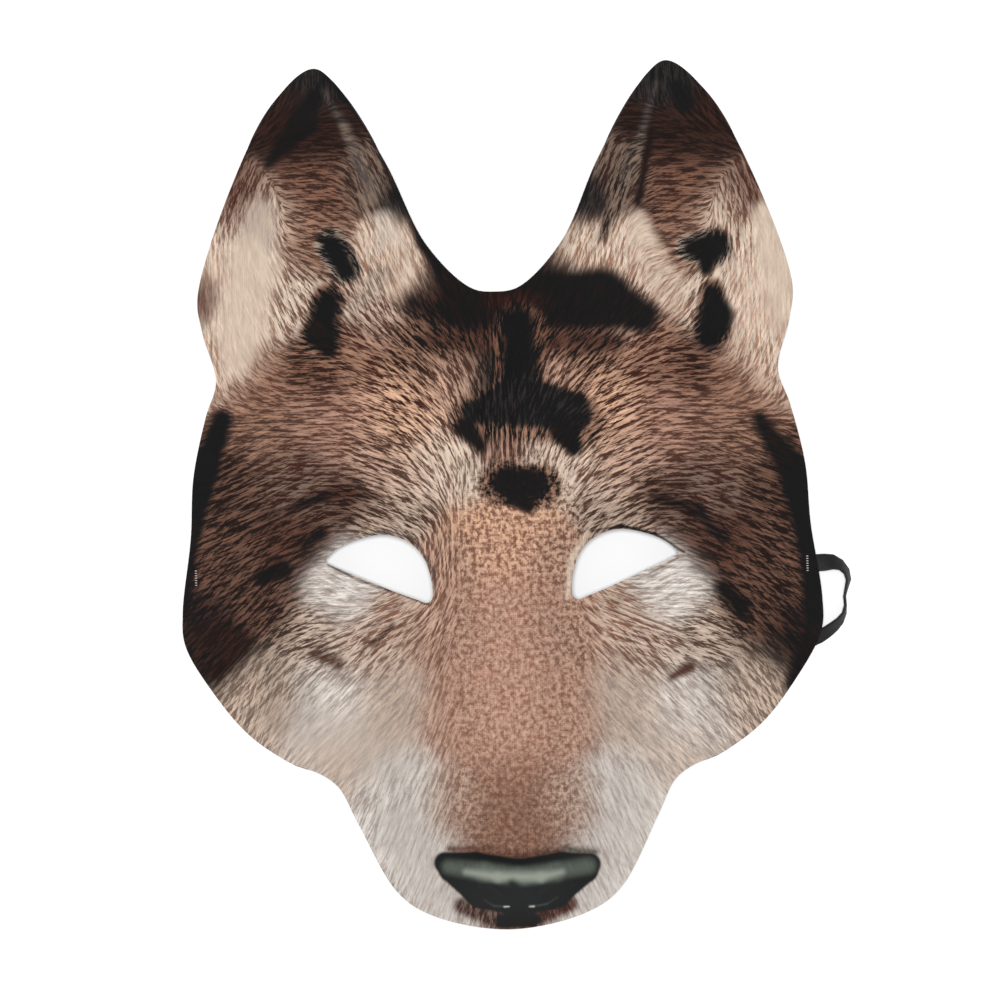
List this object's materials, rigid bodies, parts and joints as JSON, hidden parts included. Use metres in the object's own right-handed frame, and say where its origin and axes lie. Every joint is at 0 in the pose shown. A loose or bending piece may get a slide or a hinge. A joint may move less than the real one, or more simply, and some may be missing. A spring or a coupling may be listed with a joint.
{
  "type": "half face mask",
  "caption": "Pressed wolf-face half mask with upright ears, open eye holes, a hollow snout and a flat elastic strap sewn behind the temples.",
  "frame": {"origin": "on the table, under the middle of the sheet's box", "axes": "+X across the face towards the strap's slack loop, +Y from the chin to the ears, +Z out of the face"},
  "size_m": [0.2015, 0.2598, 0.0442],
  "materials": {
    "printed_laminate": "printed polyester knit on pressed foam, soft sheen",
    "black_elastic": "braided flat elastic, matt black"
  },
  "bodies": {
    "root": {"moulded_face": "printed_laminate", "elastic_strap": "black_elastic"}
  },
  "joints": []
}
